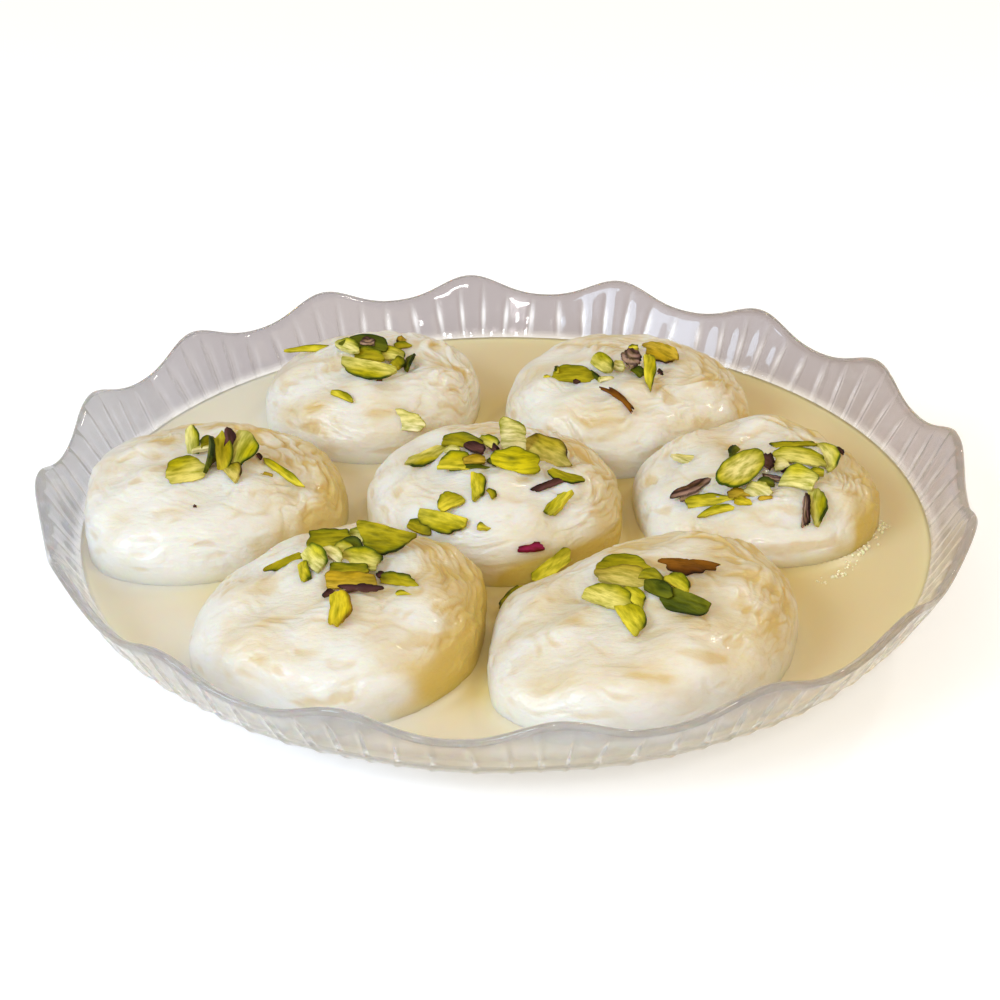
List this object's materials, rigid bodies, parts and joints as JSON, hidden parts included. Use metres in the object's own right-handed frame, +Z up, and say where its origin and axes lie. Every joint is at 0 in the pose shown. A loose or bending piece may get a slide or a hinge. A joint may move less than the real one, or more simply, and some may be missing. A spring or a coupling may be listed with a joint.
{
  "type": "rasmalai",
  "caption": "Flattened balls of soft fresh cheese topped with pistachio slivers, standing in thickened milk in a shallow clear dish with a petal rim.",
  "frame": {"origin": "on the table, under the middle of the dish, at the foot ring's underside", "axes": "+Z up, +X to the picture's right, +Y away from the picture's viewer"},
  "size_m": [0.19, 0.19, 0.0385],
  "materials": {
    "clear_dish": "clear, glossy, faintly grey lilac",
    "thick_milk": "smooth liquid, soft gloss",
    "fresh_cheese": "soft and moist, finely creased, satin",
    "pistachio": "cut nut, satin, green rind and purple brown skin"
  },
  "bodies": {
    "root": {"dish": "clear_dish", "milk": "thick_milk", "disc_left": "fresh_cheese", "disc_back_left": "fresh_cheese", "disc_back_right": "fresh_cheese", "disc_middle": "fresh_cheese", "disc_right": "fresh_cheese", "disc_front_left": "fresh_cheese", "disc_front_right": "fresh_cheese"}
  },
  "joints": []
}
